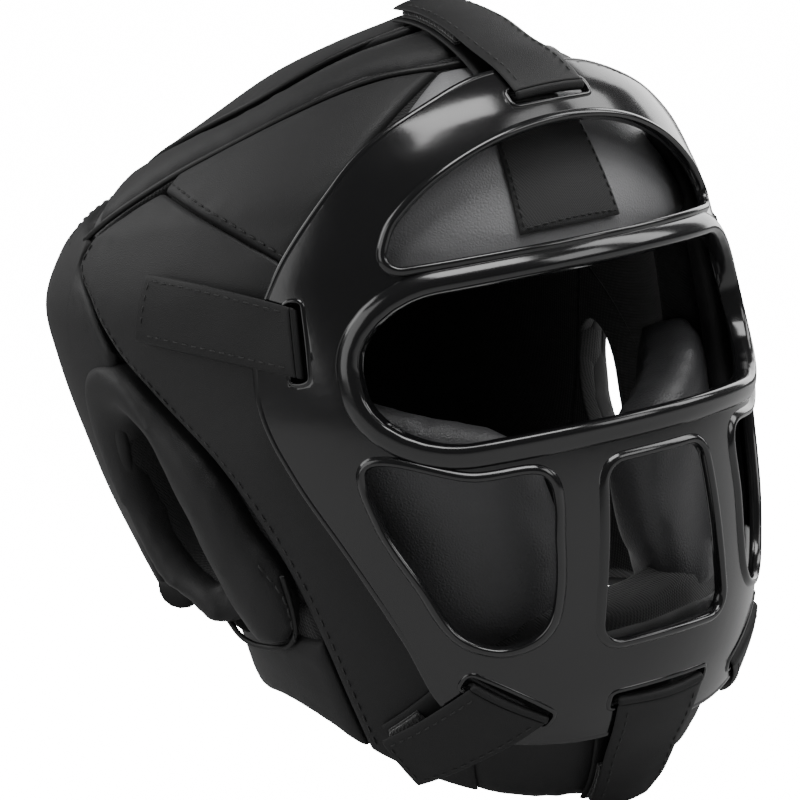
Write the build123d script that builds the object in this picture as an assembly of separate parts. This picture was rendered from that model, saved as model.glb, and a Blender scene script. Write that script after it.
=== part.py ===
from build123d import *
from math import cos, pi, radians, sin
import os

# Protective headgear with a removable face cage, as worn: +Z up, the face
# looks along -Y, +X is the wearer's left. Millimetres, Z = 0 at the chin rim.
# Places on the head are given as (angle, height): the angle runs round the
# head from the face (0) over the wearer's left ear (90) to the nape (180).

# ------------------------------------------------------------ outer skin
# Rows are (height, value) on the outer surface of the padding.
HALF_WIDTH_ROWS = [(0, 68), (15, 80), (40, 93), (70, 101), (110, 108), (160, 114.5),
                   (200, 116), (230, 107), (250, 88), (265, 66), (280, 38), (291, 2)]
FRONT_ROWS = [(0, -88), (15, -106), (40, -120), (70, -128), (110, -132), (160, -136),
              (202, -134), (242, -124), (262, -112), (275, -98), (285, -80), (291, -58)]
REAR_ROWS = [(0, 20), (40, 30), (80, 46), (100, 60), (118, 76), (150, 98), (171, 112),
             (192, 121), (210, 126), (230, 112), (250, 74), (265, 40), (280, 0), (291, -54)]
MIDDLE_ROWS = [(0, 0), (200, 0), (230, -5), (250, -15), (265, -30), (280, -46), (291, -56)]
FRONT_ROUNDNESS = 2.0
REAR_ROUNDNESS = 2.3
HEAD_CENTRE = Vector(0, 5, 150)
NEAREST_SKIN = 60
FARTHEST_SKIN = 240
RAY_STEPS = 26

# ------------------------------------------------------------ padding layers
# Depths are measured from the outer skin towards the head centre.
# A cover swells from its sunken seams up to the outer skin.
COVER = 3.6
FOAM_TOP = 4.2
FOAM_BOTTOM = 16.0
LINING_TOP = 16.6
LINING_BOTTOM = 18.0
COVER_SWELL = 1.2
BAND_SWELL = 2.0
ROLL_DEPTH = 15.0
# The ear roll is plump in front of the ear and flattens behind it.
ROLL_SWELL_FRONT = 6.5
ROLL_SWELL_REAR = 2.5
CHEEK_TOP = 4.2
CHEEK_BOTTOM = 28.0
CHEEK_SWELL = 3.0
JAW_DEPTH = 12.0
# The jaw panel turns in under the ear, towards the neck, by this much.
JAW_TUCK = 30.0
PATCH_LOW = 0.3
PATCH_HIGH = 1.1

# ------------------------------------------------------------ face cage
CAGE_WALL = 3.0
CAGE_EDGE_GAP = 4.5
CAGE_SPREAD = 62.0
# Extra gap of the cage over the centre line of the face, by height of the skin.
CAGE_LIFT_ROWS = [(0, 0), (24, 1.5), (45, 8.4), (61, 13.4), (85, 18.5), (115, 21), (145, 18.5),
                  (180, 13.5), (202, 10.5), (240, 10.3), (255, 7.2), (270, 1), (280, 0)]
CAGE_SIDE = 61
CAGE_COLUMNS = 23
CAGE_ROWS = 31
CAGE_BLANK_BOTTOM = 16
CAGE_BLANK_HEIGHT = 252
CAGE_OUTLINE = [(0, 265), (24, 263), (43, 256.5), (58, 249.5), (69, 241.5), (79, 231), (86, 222.5),
                (93, 212), (98.5, 199), (102, 180), (102, 160), (97.5, 137), (91, 115), (84, 93),
                (77.5, 74), (70.5, 55), (59, 39), (38, 32), (0, 30)]
EYE_WIDTH = 166
EYE_HEIGHT = 53
EYE_MIDDLE = 168
EYE_CORNER = 24
RIM_WIDTH = 7.5
RIM_RAISE = 2.0
MOUTH_TOP = 127
MOUTH_BOTTOM = 65
MOUTH_TOP_WIDTH = 42
MOUTH_BOTTOM_WIDTH = 54
MOUTH_CORNER = 7
CHEEK_WINDOW = [(41, 127), (62, 130), (84, 140), (83, 120), (75, 96), (67, 77), (57, 70),
                (47, 72), (42, 80), (40, 104)]
BROW_BOTTOM = 204
BROW_BOTTOM_HALF_WIDTH = 66
BROW_ARCH = [(70, 209), (64, 220), (49, 231.5), (26, 240.5), (0, 243.5)]
FRONT_REACH = 175
SLOT_WIDTH = 6.8
# The slot lies mostly ahead of the fold, where the strap's end swings as it opens.
SLOT_AHEAD = 0.8
SLOT_EXTRA_LENGTH = 1.0
SLOT_CUT = 40

# ------------------------------------------------------------ straps
STRAP_GAP = 0.6
STRAP_THICK = 1.8
BASE_LOW = 0.4
BASE_HIGH = 1.9
LOOP_LOW = 2.2
LOOP_HIGH = 3.1
HOOK_LOW = 3.4
HOOK_HIGH = 4.4
FOLD_RADIUS = 1.9
FOLD_SINK = 0.5
FOLD_MARGIN = 1.0
TAPE_MARGIN = 2.5
TAPE_END_SHARE = 0.06
BASE_START_SHARE = 0.1
STRAP_COLUMNS = 15
STRAP_ROWS = 5

# ------------------------------------------------------------ rear closure
REAR_LOOP_LOW = 0.6
REAR_LOOP_HIGH = 1.6
REAR_HOOK_LOW = 1.9
REAR_HOOK_HIGH = 2.9
REAR_FLAP_LOW = 3.2
REAR_FLAP_HIGH = 5.2
REAR_FOLD_RADIUS = 1.4
REAR_FLAP_START = 150
REAR_FLAP_END = 194
REAR_TAPE_START = 181
REAR_HOOK_END = 192
REAR_LOOP_END = 206
REAR_BOTTOM = 156
REAR_TOP = 192

# ------------------------------------------------------------ fineness of the surfaces
# Long or strongly curved pieces need more points along them.
LONG_COLUMNS = 31
SIDE_GRID = dict(rows=13, columns=33)
REAR_GRID = dict(rows=19, columns=19)

# ------------------------------------------------------------ seam lines
# One side only; the other side is the mirror image.
GROOVE = [(2, 269.5), (18, 270), (38, 270), (56, 265), (72, 257), (90, 247), (107, 232)]
BAND_TOP = [(2, 286), (15, 286), (68, 281), (89, 271), (118, 260), (136, 251)]
SIDE_SEAM = [(46, 211), (54, 222), (66, 234), (84, 244.5)]
COVER_EDGE = [(43, 190), (43.5, 165), (45, 148), (44.5, 130), (42.5, 110), (38.5, 92), (35, 75),
              (32.3, 58), (31.4, 40), (31.5, 16)]
FACE_EDGE = [(43, 190), (44, 165), (48.5, 148), (48.5, 120), (48, 95), (47.5, 62), (46.6, 40)]
STITCHED_EDGE = [(101, 232), (104, 224), (95.5, 210), (88, 191), (79.5, 174), (67, 146),
                 (61.5, 125), (56.3, 98), (53.6, 76), (52, 57), (50.2, 37)]
REAR_CROWN = [(112.5, 229.5), (121, 239), (136, 248.5), (158, 254), (179.6, 256)]
NAPE_RIM = [(104.5, 97), (118, 100), (135, 104), (155, 106), (179.6, 107)]
EAR_OUTER = [(58.2, 80), (58.2, 98), (63.6, 120), (69.5, 147), (81, 172), (88.5, 186), (96.5, 189.5),
             (104, 184), (106, 168), (104.5, 148), (101.8, 126), (97.5, 107), (88, 93), (77, 83)]
EAR_INNER = [(71.5, 80), (75.5, 97), (78, 113), (80, 131), (82, 149), (85.5, 161), (89.5, 165.5),
             (93.5, 161), (95, 148), (94.8, 132), (92.5, 118), (88.5, 107), (84, 101), (79.8, 98)]
JAW_TOP = [(54.8, 74.5), (62, 74), (72, 74.5), (84, 79), (95, 89)]
JAW_RIM = [(51.8, 36.5), (60, 45), (72, 49), (84, 46), (95, 46)]
CHEEK_OUTSIDE = [(42, 167), (43.8, 158), (46.6, 146), (46.9, 120), (46.5, 95), (45.8, 68)]
CHEEK_INSIDE = [(19, 142), (14.5, 130), (12.5, 110), (12, 94), (15, 71)]


def smooth_curve(rows):
    """Function of height that passes smoothly through (height, value) rows."""
    heights = [row[0] for row in rows]
    values = [row[1] for row in rows]
    spans = [b - a for a, b in zip(heights, heights[1:])]
    rises = [(b - a) / span for a, b, span in zip(values, values[1:], spans)]
    slopes = [rises[0]]
    for before, after in zip(rises, rises[1:]):
        same_way = before * after > 0
        slopes.append(2 * before * after / (before + after) if same_way else 0)
    slopes.append(rises[-1])

    def value_at(height):
        height = min(max(height, heights[0]), heights[-1])
        i = 0
        while height > heights[i + 1]:
            i += 1
        t = (height - heights[i]) / spans[i]
        start = (2 * t - 3) * t * t + 1
        lead_in = ((t - 2) * t + 1) * t * spans[i]
        lead_out = (t - 1) * t * t * spans[i]
        return (start * values[i] + (1 - start) * values[i + 1]
                + lead_in * slopes[i] + lead_out * slopes[i + 1])

    return value_at


half_width = smooth_curve(HALF_WIDTH_ROWS)
front = smooth_curve(FRONT_ROWS)
rear = smooth_curve(REAR_ROWS)
middle = smooth_curve(MIDDLE_ROWS)
cage_lift = smooth_curve(CAGE_LIFT_ROWS)


def section(height, forward):
    """Length of the head section on one side of its middle, and its roundness."""
    if forward:
        return middle(height) - front(height), FRONT_ROUNDNESS
    return rear(height) - middle(height), REAR_ROUNDNESS


def place(angle, height):
    """Point on the outer skin at an angle round the head and a height."""
    across, along = sin(radians(angle)), cos(radians(angle))
    length, power = section(height, along >= 0)
    total = abs(across / half_width(height)) ** power + abs(along / length) ** power
    radius = total ** (-1 / power)
    return Vector(radius * across, middle(height) - radius * along, height)


def beyond_skin(point):
    """True when a point lies outside the outer skin."""
    if point.Z >= HALF_WIDTH_ROWS[-1][0]:
        return True
    along = point.Y - middle(point.Z)
    length, power = section(point.Z, along < 0)
    return abs(point.X / half_width(point.Z)) ** power + abs(along / length) ** power > 1


def ray_to_skin(point):
    """Unit direction from the head centre through a point, and the skin's distance."""
    direction = (point - HEAD_CENTRE).normalized()
    near, far = NEAREST_SKIN, FARTHEST_SKIN
    for _ in range(RAY_STEPS):
        distance = (near + far) / 2
        if beyond_skin(HEAD_CENTRE + direction * distance):
            far = distance
        else:
            near = distance
    return direction, near


def cage_gap(point):
    """Gap between the skin at a point and the outer face of the cage."""
    angle = abs(Vector(0, -1, 0).get_angle(Vector(point.X, point.Y - middle(point.Z), 0)))
    closeness = max(0, 1 - (angle / CAGE_SPREAD) ** 2)
    return CAGE_EDGE_GAP + cage_lift(point.Z) * closeness ** 2


def places(line, rise=0, turn=0):
    """Skin points of a seam line, moved up and round the head to leave a seam gap."""
    return [place(angle + turn, height + rise) for angle, height in line]


def mirrored(points):
    return [Vector(-p.X, p.Y, p.Z) for p in points]


def spaced(points, count):
    """Evenly spaced points along the smooth line through some points."""
    line = Spline(*points) if len(points) > 2 else Line(*points)
    return [line @ (i / (count - 1)) for i in range(count)]


def closed_piece(outer_grid, inner_grid):
    """Solid between an outer and an inner grid of points."""
    outer = Face.make_surface_from_array_of_points(outer_grid)
    inner = Face.make_surface_from_array_of_points(inner_grid)
    walls = []
    for outer_edge, inner_edge in zip(outer.edges(), inner.edges()):
        walls.append(Face.make_surface_from_curves(outer_edge, inner_edge))
    return Solid(Shell([outer, inner] + walls))


def panel(edge_a, edge_b, outer, inner, swell=0.0, end_swell=None, tuck=0.0, rows=9,
          columns=15, on_cage=False):
    """Piece between two edge lines, from an outer to an inner depth below the skin.

    The swell may change towards end_swell from the start of the lines to their
    end, where the piece also turns inwards by tuck. With on_cage the depths are
    measured from the cage's outer face instead.
    """
    if end_swell is None:
        end_swell = swell
    outer_grid, inner_grid = [], []
    edges = zip(spaced(edge_a, columns), spaced(edge_b, columns))
    for column, (a, b) in enumerate(edges):
        along = column / (columns - 1)
        height = swell + (end_swell - swell) * along
        outer_row, inner_row = [], []
        for i in range(rows):
            share = i / (rows - 1)
            direction, distance = ray_to_skin(a + (b - a) * share)
            if on_cage:
                distance += cage_gap(HEAD_CENTRE + direction * distance)
            distance -= tuck * along ** 1.5
            raised = distance - outer + height * sin(pi * share)
            outer_row.append(HEAD_CENTRE + direction * raised)
            inner_row.append(HEAD_CENTRE + direction * (distance - inner))
        outer_grid.append(outer_row)
        inner_grid.append(inner_row)
    return closed_piece(outer_grid, inner_grid)


# ------------------------------------------------------------ padded shell
def cover(edge_a, edge_b, swell=COVER_SWELL, rows=9, columns=15):
    return panel(edge_a, edge_b, swell, COVER, swell, rows=rows, columns=columns)


def forehead_cover():
    bottom = places([(-43, 204), (-20, 204), (0, 204), (20, 204), (43, 204)])
    top = places([(-16, 268), (0, 268), (16, 268)])
    return cover(bottom, top)


def forehead_layer(outer, inner):
    """Crescent under the forehead cover and both upper side covers."""
    low_side = places([(43.5, 207.5), (52.5, 221.5), (65, 233.5), (82, 244.5)])
    low_front = places([(-22, 204), (0, 204), (22, 204)])
    high_side = places([(38, 269), (56, 264), (72, 256), (82, 250)])
    bottom = mirrored(reversed(low_side)) + low_front + low_side
    top = mirrored(reversed(high_side)) + [place(0, 269)] + high_side
    return panel(bottom, top, outer, inner, columns=LONG_COLUMNS)


def forehead_patch():
    bottom = places([(-9.5, 207), (0, 207), (9.5, 207)])
    top = places([(-9.5, 243), (0, 243), (9.5, 243)])
    return panel(bottom, top, -PATCH_HIGH, -PATCH_LOW, rows=7, columns=7)


def crown_centre():
    edge = places([(10, 288)] + BAND_TOP[2:], rise=1.3)
    return panel(edge, mirrored(edge), COVER_SWELL, COVER, COVER_SWELL, rows=15)


def crown_band():
    return cover(places(GROOVE, rise=1), places(BAND_TOP), BAND_SWELL)


def crown_layer(outer, inner):
    edge = places([(18, 270), (38, 270.5), (56, 265.5), (72, 257.5), (90, 247.5), (106, 233),
                   (120, 243), (135, 250)])
    return panel(edge, mirrored(edge), outer, inner, rows=17)


def upper_side():
    top = places([(19, 268.5), (38, 268.5), (56, 263.5), (72, 255.5), (83, 249.5)])
    return cover(top, places(SIDE_SEAM, rise=1))


def side_cover():
    """Side leather, which also laps over the cheek pad and the end of the chin foam."""
    front_edge = places(reversed(SIDE_SEAM), rise=-1.2) + places(COVER_EDGE)
    return cover(front_edge, places(STITCHED_EDGE), **SIDE_GRID)


def side_layer(outer, inner):
    front_edge = places(reversed(SIDE_SEAM), rise=-3.5) + places(FACE_EDGE)
    return panel(front_edge, places(STITCHED_EDGE), outer, inner, **SIDE_GRID)


def ear_roll():
    return panel(places(EAR_OUTER), places(EAR_INNER), 0, ROLL_DEPTH, ROLL_SWELL_FRONT,
                 ROLL_SWELL_REAR, columns=LONG_COLUMNS)


def jaw_cover():
    return panel(places(JAW_TOP), places(JAW_RIM), COVER_SWELL, JAW_DEPTH, COVER_SWELL,
                 tuck=JAW_TUCK)


def cheek_pad():
    return panel(places(CHEEK_OUTSIDE), places(CHEEK_INSIDE), CHEEK_TOP + CHEEK_SWELL,
                 CHEEK_BOTTOM, CHEEK_SWELL)


def chin_cup():
    top = places([(-30, 62.5), (-15, 63), (0, 63), (15, 63), (30, 62.5)])
    rim = places([(-29, 14.5), (-15, 5), (0, 2), (15, 5), (29, 14.5)])
    return cover(top, rim)


def chin_foam():
    top = places([(-44, 63), (-22, 63), (0, 63), (22, 63), (44, 63)])
    rim = places([(-45, 24), (-24, 8), (0, 2), (24, 8), (45, 24)])
    return panel(top, rim, FOAM_TOP, FOAM_BOTTOM)


def rear_edges():
    return places(REAR_CROWN), places(NAPE_RIM)


# ------------------------------------------------------------ straps
def strap_strip(start, end, low, high, skip_start=0.0, skip_end=0.0, margin=0.0, on_cage=False):
    """Strip between a start line and an end line, each given by two places."""
    sides = []
    for here, there in ((0, 1), (1, 0)):
        first = place(*start[here])
        last = place(*end[here])
        across = (place(*start[there]) - first).normalized()
        first, last = first + across * margin, last + across * margin
        line = last - first
        kept = 1 - skip_end - skip_start
        sides.append([first + line * (i / 4 * kept + skip_start) for i in range(5)])
    return panel(sides[0], sides[1], -high, -low, rows=STRAP_ROWS, columns=STRAP_COLUMNS,
                 on_cage=on_cage)


def cage_face(point, extra=0.0):
    """Point on the cage's outer face above a skin point."""
    direction, distance = ray_to_skin(point)
    skin = HEAD_CENTRE + direction * distance
    return skin + direction * (cage_gap(skin) + extra)


def fold_ends(start):
    """Ends of a strap's fold, just below the cage's outer face."""
    first, last = place(*start[0]), place(*start[1])
    inward = (last - first).normalized() * FOLD_MARGIN
    return cage_face(first + inward, -FOLD_SINK), cage_face(last - inward, -FOLD_SINK)


def rod(first, last, radius):
    line = last - first
    return Solid.make_cylinder(radius, line.length, Plane(origin=first, z_dir=line))


def strap_tail(start, end):
    """Free end of a strap: a round fold in the slot and a flap lying back from it."""
    flap = strap_strip(start, end, STRAP_GAP, STRAP_GAP + STRAP_THICK,
                       margin=FOLD_MARGIN, on_cage=True)
    first, last = fold_ends(start)
    return (flap + rod(first, last, FOLD_RADIUS)).solid()


def strap_pieces(start, end, edge_share):
    """Tail, hook tape, base and loop tape of one strap."""
    tape = dict(skip_start=edge_share, skip_end=TAPE_END_SHARE, margin=TAPE_MARGIN)
    return {
        "tail": strap_tail(start, end),
        "hook_tape": strap_strip(start, end, HOOK_LOW, HOOK_HIGH, **tape),
        "base": strap_strip(start, end, BASE_LOW, BASE_HIGH, skip_start=BASE_START_SHARE,
                            margin=FOLD_MARGIN),
        "loop_tape": strap_strip(start, end, LOOP_LOW, LOOP_HIGH, **tape),
    }


# Slot line, end line and the share of the length that the cage's bar takes up.
TEMPLE_STRAP = ([(45.5, 196), (46.5, 171)], [(73, 215), (77.5, 191)], 0.5)
JAW_STRAP = ([(30, 67), (18.5, 49)], [(46.5, 48), (41.5, 27)], 0.6)
TOP_STRAP = ([(-7.5, 246), (7.5, 246)], [(-52, 287.3), (52, 287.3)], 0.5)
CHIN_STRAP = ([(-8.5, 52), (8.5, 52)], [(-9, 6), (9, 6)], 0.6)


# ------------------------------------------------------------ rear closure
def rear_strip(start_angle, end_angle, low, high, margin=0.0):
    count = 7
    angles = [start_angle + (end_angle - start_angle) * i / (count - 1) for i in range(count)]
    bottom = [place(angle, REAR_BOTTOM + margin) for angle in angles]
    top = [place(angle, REAR_TOP - margin) for angle in angles]
    return panel(bottom, top, -high, -low, rows=STRAP_ROWS, columns=STRAP_COLUMNS)


def rear_flap():
    """Flap of the rear closure, with a rounded fold along its sewn end."""
    flap = rear_strip(REAR_FLAP_START, REAR_FLAP_END, REAR_FLAP_LOW, REAR_FLAP_HIGH)
    ends = []
    for height in (REAR_BOTTOM, REAR_TOP):
        direction, distance = ray_to_skin(place(REAR_FLAP_START, height))
        ends.append(HEAD_CENTRE + direction * (distance + (REAR_FLAP_LOW + REAR_FLAP_HIGH) / 2))
    return (flap + rod(*ends, REAR_FOLD_RADIUS)).solid()


# ------------------------------------------------------------ face cage
def front_prism(outline):
    """Cutter that runs from in front of the face back to its widest part."""
    return extrude(outline, amount=FRONT_REACH, dir=(0, -1, 0))


def half_outline_face(line):
    """Face in the XZ plane bounded by a right-hand line and its mirror image."""
    points = [Vector(x, 0, z) for x, z in line]
    right = Spline(*points)
    left = Spline(*[Vector(-p.X, 0, p.Z) for p in reversed(points)])
    return make_face([right, left])


def brow_window():
    arch = [Vector(x, 0, z) for x, z in BROW_ARCH]
    whole = arch + [Vector(-p.X, 0, p.Z) for p in reversed(arch[:-1])]
    corner_right = Vector(BROW_BOTTOM_HALF_WIDTH, 0, BROW_BOTTOM)
    corner_left = Vector(-BROW_BOTTOM_HALF_WIDTH, 0, BROW_BOTTOM)
    edges = [Spline(*whole), Line(whole[-1], corner_left), Line(corner_left, corner_right),
             Line(corner_right, whole[0])]
    return make_face(edges)


def mouth_window():
    top, bottom = MOUTH_TOP_WIDTH / 2, MOUTH_BOTTOM_WIDTH / 2
    corners = [(-top, MOUTH_TOP), (top, MOUTH_TOP), (bottom, MOUTH_BOTTOM), (-bottom, MOUTH_BOTTOM)]
    face = make_face(Polyline(*[(x, 0, z) for x, z in corners], close=True))
    return fillet(face.vertices(), MOUTH_CORNER)


def cheek_window():
    points = [Vector(x, 0, z) for x, z in CHEEK_WINDOW]
    corner = points[2]
    right_side = Spline(*points[2:], points[0])
    top = Spline(points[0], points[1], corner)
    return make_face([right_side, top])


def eye_outline(grow):
    sketch = RectangleRounded(EYE_WIDTH + 2 * grow, EYE_HEIGHT + 2 * grow, EYE_CORNER + grow)
    return Plane(origin=(0, 0, EYE_MIDDLE), x_dir=(1, 0, 0), z_dir=(0, -1, 0)) * sketch


def slot_cutter(start, end):
    """Block that cuts one strap slot square through the cage's wall."""
    first, last = cage_face(place(*start[0])), cage_face(place(*start[1]))
    centre = (first + last) * 0.5
    frame = Plane(origin=centre, x_dir=last - first, z_dir=centre - HEAD_CENTRE)
    ahead = SLOT_AHEAD if frame.y_dir.dot(centre - place(*end[0])) > 0 else -SLOT_AHEAD
    slot = Box((last - first).length + SLOT_EXTRA_LENGTH, SLOT_WIDTH, SLOT_CUT)
    return frame * Pos(0, ahead, 0) * slot


def cage_layer(outer, inner):
    """Layer of the whole cage blank, between two depths below its outer face."""
    angles = [CAGE_SIDE * (2 * i / (CAGE_COLUMNS - 1) - 1) for i in range(CAGE_COLUMNS)]
    heights = [CAGE_BLANK_BOTTOM + CAGE_BLANK_HEIGHT * i / (CAGE_ROWS - 1)
               for i in range(CAGE_ROWS)]
    outer_grid, inner_grid = [], []
    for height in heights:
        rays = [ray_to_skin(place(angle, height)) for angle in angles]
        faces = [(way, far + cage_gap(HEAD_CENTRE + way * far)) for way, far in rays]
        outer_grid.append([HEAD_CENTRE + way * (far - outer) for way, far in faces])
        inner_grid.append([HEAD_CENTRE + way * (far - inner) for way, far in faces])
    return closed_piece(outer_grid, inner_grid)


def face_cage():
    shell = cage_layer(0, CAGE_WALL) & front_prism(half_outline_face(CAGE_OUTLINE))
    rim = cage_layer(-RIM_RAISE, CAGE_WALL / 2) & front_prism(eye_outline(RIM_WIDTH))
    shell = shell + rim
    shell = shell - front_prism(eye_outline(0))
    for window in (brow_window(), mouth_window(), cheek_window(), mirror(cheek_window(), Plane.YZ)):
        shell = shell - front_prism(window)
    for start, end, _ in (TOP_STRAP, CHIN_STRAP):
        shell = shell - slot_cutter(start, end)
    for start, end, _ in (TEMPLE_STRAP, JAW_STRAP):
        cutter = slot_cutter(start, end)
        shell = shell - cutter - mirror(cutter, Plane.YZ)
    return shell.solid()


# ------------------------------------------------------------ assembly
def both_sides(name, solid):
    return {name + "_left": solid, name + "_right": mirror(solid, Plane.YZ)}


def all_pieces():
    pieces = {
        "face_cage": face_cage(),
        "forehead_panel": forehead_cover(),
        "forehead_foam": forehead_layer(FOAM_TOP, FOAM_BOTTOM),
        "forehead_lining": forehead_layer(LINING_TOP, LINING_BOTTOM),
        "forehead_patch": forehead_patch(),
        "crown_centre_panel": crown_centre(),
        "crown_foam": crown_layer(FOAM_TOP, FOAM_BOTTOM),
        "crown_lining": crown_layer(LINING_TOP, LINING_BOTTOM),
        "chin_cup": chin_cup(),
        "chin_foam": chin_foam(),
        "rear_flap": rear_flap(),
        "rear_hook_tape": rear_strip(REAR_TAPE_START, REAR_HOOK_END, REAR_HOOK_LOW,
                                     REAR_HOOK_HIGH, TAPE_MARGIN),
        "rear_loop_tape": rear_strip(REAR_TAPE_START, REAR_LOOP_END, REAR_LOOP_LOW,
                                     REAR_LOOP_HIGH, TAPE_MARGIN),
    }
    paired = {
        "crown_band": crown_band(),
        "upper_side_panel": upper_side(),
        "side_panel": side_cover(),
        "side_foam": side_layer(FOAM_TOP, FOAM_BOTTOM),
        "side_lining": side_layer(LINING_TOP, LINING_BOTTOM),
        "ear_roll": ear_roll(),
        "jaw_panel": jaw_cover(),
        "cheek_pad": cheek_pad(),
        "rear_panel": cover(*rear_edges(), **REAR_GRID),
        "rear_foam": panel(*rear_edges(), FOAM_TOP, FOAM_BOTTOM, **REAR_GRID),
        "rear_lining": panel(*rear_edges(), LINING_TOP, LINING_BOTTOM, **REAR_GRID),
    }
    for kind, strap in (("temple", TEMPLE_STRAP), ("jaw", JAW_STRAP)):
        for part_name, solid in strap_pieces(*strap).items():
            paired[f"{kind}_strap_{part_name}"] = solid
    for name, solid in paired.items():
        pieces.update(both_sides(name, solid))
    for kind, strap in (("top", TOP_STRAP), ("chin", CHIN_STRAP)):
        for part_name, solid in strap_pieces(*strap).items():
            pieces[f"{kind}_strap_{part_name}"] = solid
    return pieces


os.makedirs("parts", exist_ok=True)
for piece_name, piece in all_pieces().items():
    piece.label = piece_name
    export_step(piece, f"parts/{piece_name}.step")
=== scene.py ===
import math

import bpy
import numpy as np
from mathutils import Matrix, Vector


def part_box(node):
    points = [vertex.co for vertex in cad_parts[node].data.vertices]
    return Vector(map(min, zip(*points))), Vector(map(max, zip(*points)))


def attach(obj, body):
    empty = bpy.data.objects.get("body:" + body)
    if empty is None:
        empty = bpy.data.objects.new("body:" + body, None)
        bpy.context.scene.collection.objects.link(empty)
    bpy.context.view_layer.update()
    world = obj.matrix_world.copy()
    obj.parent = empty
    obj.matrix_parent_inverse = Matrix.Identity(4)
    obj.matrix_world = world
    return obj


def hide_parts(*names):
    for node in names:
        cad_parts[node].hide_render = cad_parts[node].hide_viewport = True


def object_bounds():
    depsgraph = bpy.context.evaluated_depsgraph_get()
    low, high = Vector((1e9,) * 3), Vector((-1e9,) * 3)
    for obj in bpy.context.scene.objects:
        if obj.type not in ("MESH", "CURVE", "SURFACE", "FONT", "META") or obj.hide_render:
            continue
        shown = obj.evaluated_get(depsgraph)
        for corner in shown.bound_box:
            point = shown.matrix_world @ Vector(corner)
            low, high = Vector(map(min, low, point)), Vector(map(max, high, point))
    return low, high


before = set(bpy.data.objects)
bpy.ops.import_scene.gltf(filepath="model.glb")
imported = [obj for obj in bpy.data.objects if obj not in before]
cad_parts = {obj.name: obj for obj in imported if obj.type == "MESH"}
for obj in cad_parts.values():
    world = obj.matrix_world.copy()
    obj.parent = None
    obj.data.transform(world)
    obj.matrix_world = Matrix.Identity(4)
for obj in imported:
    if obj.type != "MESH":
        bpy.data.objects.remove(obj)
cad_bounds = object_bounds()

# Lengths below are the headgear's own millimetres; MM turns them into the frame's metres.
CAGE_HEIGHT = 235.0
cage_low, cage_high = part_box("face_cage")
MM = (cage_high[2] - cage_low[2]) / CAGE_HEIGHT
SHELL, CAGE = "padded_shell", "cage"

# ------------------------------------------------------------ outer skin of the head
HALF_WIDTH = [(0, 68), (15, 80), (40, 93), (70, 101), (110, 108), (160, 114.5),
              (200, 116), (230, 107), (250, 88), (265, 66), (280, 38), (291, 2)]
FRONT = [(0, -88), (15, -106), (40, -120), (70, -128), (110, -132), (160, -136),
         (202, -134), (242, -124), (262, -112), (275, -98), (285, -80), (291, -58)]
REAR = [(0, 20), (40, 30), (80, 46), (100, 60), (118, 76), (150, 98), (171, 112),
        (192, 121), (210, 126), (230, 112), (250, 74), (265, 40), (280, 0), (291, -54)]
MIDDLE = [(0, 0), (200, 0), (230, -5), (250, -15), (265, -30), (280, -46), (291, -56)]
CAGE_LIFT = [(0, 0), (24, 1.5), (45, 8.4), (61, 13.4), (85, 18.5), (115, 21), (145, 18.5),
             (180, 13.5), (202, 10.5), (240, 10.3), (255, 7.2), (270, 1), (280, 0)]
CENTRE = np.array([0.0, 5.0, 150.0])
CAGE_EDGE_GAP = 4.5
CAGE_SPREAD = 62.0
CAGE_WALL = 3.0
FRONT_ROUNDNESS = 2.0
REAR_ROUNDNESS = 2.3
RAY_STEPS = 26
RIPPLE_WAVES = 7


def hermite(t, span, a, b, slope_a, slope_b):
    """Smooth values from a to b at shares t of a span, with given slopes at its ends."""
    h = (2 * t - 3) * t * t + 1
    return (h * a + (1 - h) * b + ((t - 2) * t + 1) * t * span * slope_a
            + (t - 1) * t * t * span * slope_b)


def curve_through(rows):
    """Function of height that passes smoothly through (height, value) rows."""
    x, y = np.array(rows, float).T
    span = np.diff(x)
    rise = np.diff(y) / span
    slope = np.empty(len(x))
    product = rise[:-1] * rise[1:]
    total = np.where(product > 0, rise[:-1] + rise[1:], 1.0)
    slope[1:-1] = np.where(product > 0, 2 * product / total, 0)
    slope[0], slope[-1] = rise[0], rise[-1]

    def at(value):
        value = np.clip(value, x[0], x[-1])
        i = np.clip(np.searchsorted(x, value) - 1, 0, len(span) - 1)
        t = (value - x[i]) / span[i]
        return hermite(t, span[i], y[i], y[i + 1], slope[i], slope[i + 1])

    return at


half_width, front, rear, middle = (curve_through(r) for r in (HALF_WIDTH, FRONT, REAR, MIDDLE))
cage_lift = curve_through(CAGE_LIFT)


def section(height, forward):
    """Length of the head's section on one side of its middle, and its roundness."""
    mid = middle(height)
    length = np.where(forward, mid - front(height), rear(height) - mid)
    return length, np.where(forward, FRONT_ROUNDNESS, REAR_ROUNDNESS)


def place(angle, height):
    """Skin points at angles round the head (0 face, 90 left ear) and heights."""
    angle, height = np.broadcast_arrays(np.radians(angle), np.asarray(height, float))
    s, c = np.sin(angle), np.cos(angle)
    length, power = section(height, c >= 0)
    radius = (np.abs(s / half_width(height)) ** power + np.abs(c / length) ** power) ** (-1 / power)
    return np.stack([radius * s, middle(height) - radius * c, height], -1)


def to_skin(points):
    """Directions from the head centre through points, and the skin's distance along them."""
    way = points - CENTRE
    way = way / np.linalg.norm(way, axis=-1, keepdims=True)
    near = np.full(way.shape[:-1], 50.0)
    far = np.full(way.shape[:-1], 240.0)
    for _ in range(RAY_STEPS):
        r = (near + far) / 2
        p = CENTRE + way * r[..., None]
        z = p[..., 2]
        along = p[..., 1] - middle(z)
        length, power = section(z, along < 0)
        value = np.abs(p[..., 0] / half_width(z)) ** power + np.abs(along / length) ** power
        out = (value > 1) | (z >= HALF_WIDTH[-1][0])
        far = np.where(out, r, far)
        near = np.where(out, near, r)
    return way, near


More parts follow.
